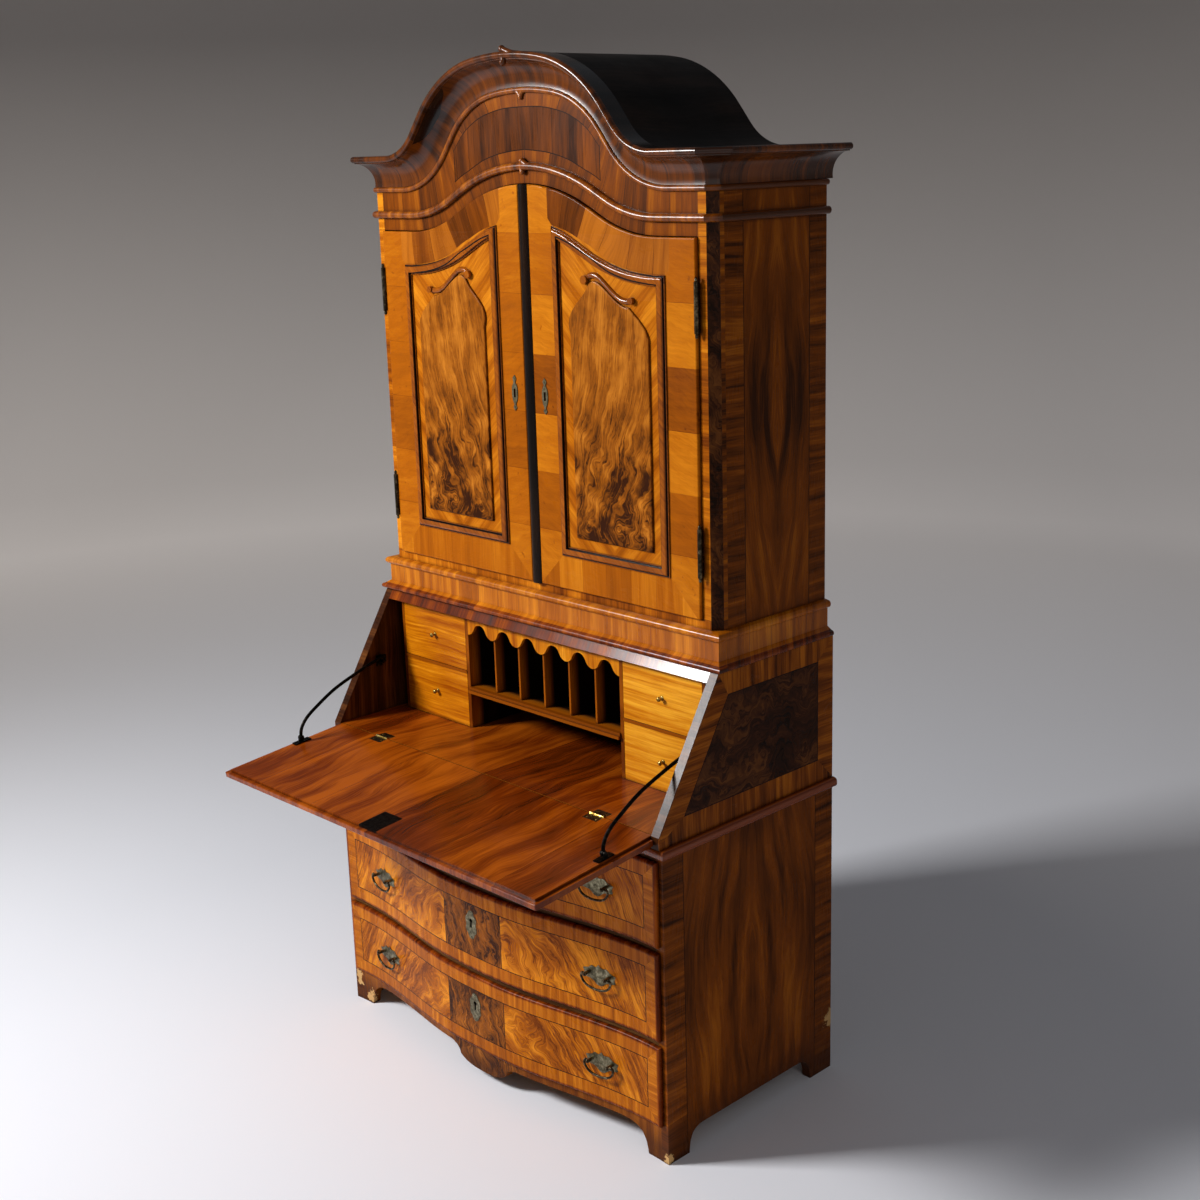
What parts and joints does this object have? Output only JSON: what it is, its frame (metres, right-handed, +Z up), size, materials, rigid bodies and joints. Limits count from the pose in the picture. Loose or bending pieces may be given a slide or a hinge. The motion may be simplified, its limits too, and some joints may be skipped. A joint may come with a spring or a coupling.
{
  "type": "escritoire",
  "caption": "Walnut bureau cabinet: serpentine chest of drawers, slant-front desk with hinged fall on iron stays, and arched two-door cabinet.",
  "frame": {"origin": "on the floor, below the middle of the box round the whole with the fall open", "axes": "+X to the right as seen from the front, +Y to the back, +Z up"},
  "size_m": [1.177, 0.8899, 2.3012],
  "materials": {
    "plain_wood": "planed, stained pine",
    "drawer_veneer": "polished walnut veneer",
    "brass": "patinated cast brass",
    "dark_brass": "darkened cast brass",
    "iron": "blackened wrought iron",
    "ebonised_wood": "ebonised and polished",
    "door_veneer": "polished walnut veneer",
    "burl_veneer": "polished burl veneer",
    "side_veneer": "polished walnut veneer",
    "desk_wood": "polished walnut",
    "small_drawer_veneer": "polished striped walnut",
    "nest_wood": "polished walnut",
    "moulding_wood": "cross-grained polished walnut",
    "frame_veneer": "polished walnut veneer"
  },
  "bodies": {
    "carcass": {"apron": "frame_veneer", "back_boards": "plain_wood", "cabinet_boards": "plain_wood", "cabinet_plinth": "moulding_wood", "cabinet_sides": "side_veneer", "chest_sides": "side_veneer", "chest_top": "moulding_wood", "cornice": "moulding_wood", "desk_hinge_leaves": "brass", "desk_sides": "side_veneer", "desk_top": "desk_wood", "dust_boards": "plain_wood", "face_frame": "frame_veneer", "frame_hinge_halves": "brass", "frieze": "frame_veneer", "frieze_mouldings": "moulding_wood", "nest_partitions": "nest_wood", "pigeonhole_case": "nest_wood", "pigeonhole_valance": "small_drawer_veneer", "roof": "plain_wood", "stay_pegs": "iron", "waist": "moulding_wood", "writing_bed": "desk_wood"},
    "fall": {"fall_flap": "desk_wood", "fall_hinge_leaves": "brass", "fall_ironwork": "iron"},
    "left_stay": {"left_stay": "iron"},
    "right_stay": {"right_stay": "iron"},
    "left_door": {"left_door": "door_veneer", "left_door_mouldings": "moulding_wood", "left_door_field": "burl_veneer", "left_door_fittings": "brass"},
    "right_door": {"right_door": "door_veneer", "right_door_mouldings": "moulding_wood", "right_door_field": "burl_veneer", "right_door_fittings": "brass", "astragal": "ebonised_wood"},
    "bottom_drawer": {"bottom_drawer_front": "drawer_veneer", "bottom_drawer_box": "plain_wood", "bottom_drawer_fittings": "brass"},
    "bottom_left_bail": {"bottom_drawer_left_bail": "dark_brass"},
    "bottom_right_bail": {"bottom_drawer_right_bail": "dark_brass"},
    "middle_drawer": {"middle_drawer_front": "drawer_veneer", "middle_drawer_box": "plain_wood", "middle_drawer_fittings": "brass"},
    "middle_left_bail": {"middle_drawer_left_bail": "dark_brass"},
    "middle_right_bail": {"middle_drawer_right_bail": "dark_brass"},
    "top_drawer": {"top_drawer_front": "drawer_veneer", "top_drawer_box": "plain_wood", "top_drawer_fittings": "brass"},
    "top_left_bail": {"top_drawer_left_bail": "dark_brass"},
    "top_right_bail": {"top_drawer_right_bail": "dark_brass"},
    "lower_left_small_drawer": {"lower_left_small_drawer": "small_drawer_veneer", "lower_left_small_drawer_knob": "brass"},
    "lower_right_small_drawer": {"lower_right_small_drawer": "small_drawer_veneer", "lower_right_small_drawer_knob": "brass"},
    "upper_left_small_drawer": {"upper_left_small_drawer": "small_drawer_veneer", "upper_left_small_drawer_knob": "brass"},
    "upper_right_small_drawer": {"upper_right_small_drawer": "small_drawer_veneer", "upper_right_small_drawer_knob": "brass"}
  },
  "joints": [
    {"name": "fall_hinge", "type": "hinge", "parent": "carcass", "child": "fall", "pos_m": [0, -0.11396, 0.749], "axis": [1, 0, 0], "range_deg": [-126.7, 0]},
    {"name": "left_stay_pivot", "type": "hinge", "parent": "fall", "child": "left_stay", "pos_m": [-0.516, -0.24292, 0.74808], "axis": [1, 0, 0], "range_deg": [0, 107.2]},
    {"name": "right_stay_pivot", "type": "hinge", "parent": "fall", "child": "right_stay", "pos_m": [0.516, -0.24292, 0.74808], "axis": [1, 0, 0], "range_deg": [0, 107.2]},
    {"name": "left_door_hinge", "type": "hinge", "parent": "carcass", "child": "left_door", "pos_m": [-0.497, 0.07204, 1.292], "axis": [0, 0, -1], "range_deg": [0, 105]},
    {"name": "right_door_hinge", "type": "hinge", "parent": "carcass", "child": "right_door", "pos_m": [0.497, 0.07204, 1.292], "axis": [0, 0, 1], "range_deg": [0, 105]},
    {"name": "bottom_drawer_slide", "type": "slide", "parent": "carcass", "child": "bottom_drawer", "axis": [0, -1, 0], "range_m": [0, 0.38]},
    {"name": "middle_drawer_slide", "type": "slide", "parent": "carcass", "child": "middle_drawer", "axis": [0, -1, 0], "range_m": [0, 0.38]},
    {"name": "top_drawer_slide", "type": "slide", "parent": "carcass", "child": "top_drawer", "axis": [0, -1, 0], "range_m": [0, 0.38]},
    {"name": "lower_left_small_drawer_slide", "type": "slide", "parent": "carcass", "child": "lower_left_small_drawer", "axis": [0, -1, 0], "range_m": [0, 0.18]},
    {"name": "lower_right_small_drawer_slide", "type": "slide", "parent": "carcass", "child": "lower_right_small_drawer", "axis": [0, -1, 0], "range_m": [0, 0.18]},
    {"name": "upper_left_small_drawer_slide", "type": "slide", "parent": "carcass", "child": "upper_left_small_drawer", "axis": [0, -1, 0], "range_m": [0, 0.18]},
    {"name": "upper_right_small_drawer_slide", "type": "slide", "parent": "carcass", "child": "upper_right_small_drawer", "axis": [0, -1, 0], "range_m": [0, 0.18]},
    {"name": "bottom_left_bail_pivot", "type": "hinge", "parent": "bottom_drawer", "child": "bottom_left_bail", "pos_m": [-0.37456, -0.14133, 0.184], "axis": [-0.9919, 0.1271, 0], "range_deg": [0, 80]},
    {"name": "bottom_right_bail_pivot", "type": "hinge", "parent": "bottom_drawer", "child": "bottom_right_bail", "pos_m": [0.37456, -0.14133, 0.184], "axis": [-0.9919, -0.1271, 0], "range_deg": [0, 80]},
    {"name": "middle_left_bail_pivot", "type": "hinge", "parent": "middle_drawer", "child": "middle_left_bail", "pos_m": [-0.37456, -0.14133, 0.391], "axis": [-0.9919, 0.1271, 0], "range_deg": [0, 80]},
    {"name": "middle_right_bail_pivot", "type": "hinge", "parent": "middle_drawer", "child": "middle_right_bail", "pos_m": [0.37456, -0.14133, 0.391], "axis": [-0.9919, -0.1271, 0], "range_deg": [0, 80]},
    {"name": "top_left_bail_pivot", "type": "hinge", "parent": "top_drawer", "child": "top_left_bail", "pos_m": [-0.37456, -0.14133, 0.5995], "axis": [-0.9919, 0.1271, 0], "range_deg": [0, 80]},
    {"name": "top_right_bail_pivot", "type": "hinge", "parent": "top_drawer", "child": "top_right_bail", "pos_m": [0.37456, -0.14133, 0.5995], "axis": [-0.9919, -0.1271, 0], "range_deg": [0, 80]}
  ],
  "couplings": [
    {"joint": "left_stay_pivot", "follows": "fall_hinge", "ratio": -0.84215},
    {"joint": "right_stay_pivot", "follows": "fall_hinge", "ratio": -0.84215}
  ]
}
